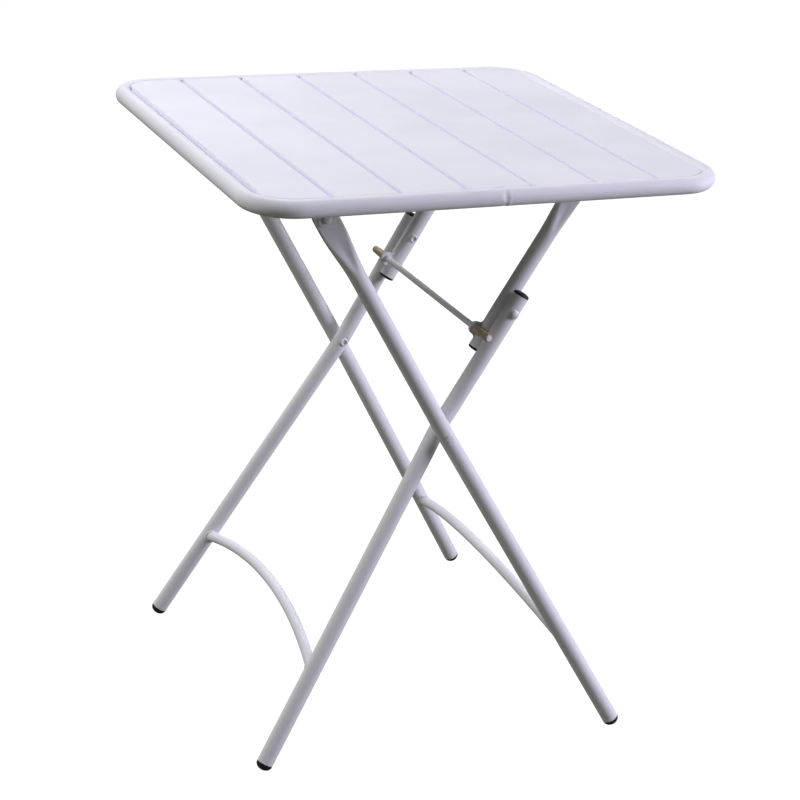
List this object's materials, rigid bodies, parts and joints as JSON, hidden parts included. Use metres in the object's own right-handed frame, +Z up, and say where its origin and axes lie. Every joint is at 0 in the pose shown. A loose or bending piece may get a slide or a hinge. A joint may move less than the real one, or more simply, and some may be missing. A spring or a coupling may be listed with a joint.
{
  "type": "folding table",
  "caption": "Folding bistro table: slatted sheet-steel top in a tubular rim on crossing tube legs that fold flat.",
  "frame": {"origin": "on the floor, under the middle of the table top, midway between the front and back", "axes": "+Z up, +X across the slats towards the feet of the outer legs, +Y along the slats towards the back"},
  "size_m": [0.5736, 0.5316, 0.7168],
  "materials": {
    "powder_coat": "white powder coat, semi-gloss, with a faint cool tint",
    "black_plastic": "black moulded plastic, satin",
    "tan_plastic": "tan moulded nylon, satin"
  },
  "bodies": {
    "table_top": {"top_rim": "powder_coat", "top_sheet": "powder_coat", "cross_rail_front": "powder_coat", "cross_rail_back": "powder_coat", "outer_ear_front": "powder_coat", "outer_ear_back": "powder_coat", "link_ear_front": "powder_coat", "link_ear_back": "powder_coat", "outer_ear_rivet_front": "powder_coat", "outer_ear_rivet_back": "powder_coat", "link_hinge_rivet_front": "powder_coat", "link_hinge_rivet_back": "powder_coat"},
    "upper_links": {"lock_rod": "powder_coat", "upper_link_front": "powder_coat", "upper_link_back": "powder_coat", "link_cap_front": "black_plastic", "link_cap_back": "black_plastic", "lock_tab_front": "powder_coat", "lock_tab_back": "powder_coat", "rod_sleeve_front": "tan_plastic", "rod_sleeve_back": "tan_plastic"},
    "inner_legs": {"inner_arch": "powder_coat", "inner_leg_front": "powder_coat", "inner_leg_back": "powder_coat", "inner_foot_front": "black_plastic", "inner_foot_back": "black_plastic", "inner_leg_cap_front": "black_plastic", "inner_leg_cap_back": "black_plastic", "link_rivet_front": "powder_coat", "link_rivet_back": "powder_coat", "link_washer_front": "powder_coat", "link_washer_back": "powder_coat"},
    "outer_legs": {"outer_arch": "powder_coat", "outer_leg_front": "powder_coat", "outer_leg_back": "powder_coat", "outer_foot_front": "black_plastic", "outer_foot_back": "black_plastic", "cross_rivet_front": "powder_coat", "cross_rivet_back": "powder_coat", "cross_washer_front": "powder_coat", "cross_washer_back": "powder_coat", "outer_hinge_rivet_front": "powder_coat", "outer_hinge_rivet_back": "powder_coat", "outer_hinge_washer_front": "powder_coat", "outer_hinge_washer_back": "powder_coat"}
  },
  "joints": [
    {"name": "leg_cross", "type": "hinge", "parent": "inner_legs", "child": "outer_legs", "pos_m": [0, 0, 0.392], "axis": [0, 1, 0], "range_deg": [0, 54.1]},
    {"name": "link_pivot", "type": "hinge", "parent": "upper_links", "child": "inner_legs", "pos_m": [0.07928, 0, 0.53213], "axis": [0, -1, 0], "range_deg": [0, 158.6]},
    {"name": "link_hinge", "type": "hinge", "parent": "table_top", "child": "upper_links", "pos_m": [0.16578, 0, 0.68195], "axis": [0, 1, 0], "range_deg": [0, 53]}
  ],
  "couplings": [
    {"joint": "link_pivot", "follows": "leg_cross", "ratio": 2.9294},
    {"joint": "link_hinge", "follows": "leg_cross", "ratio": 0.97874}
  ]
}
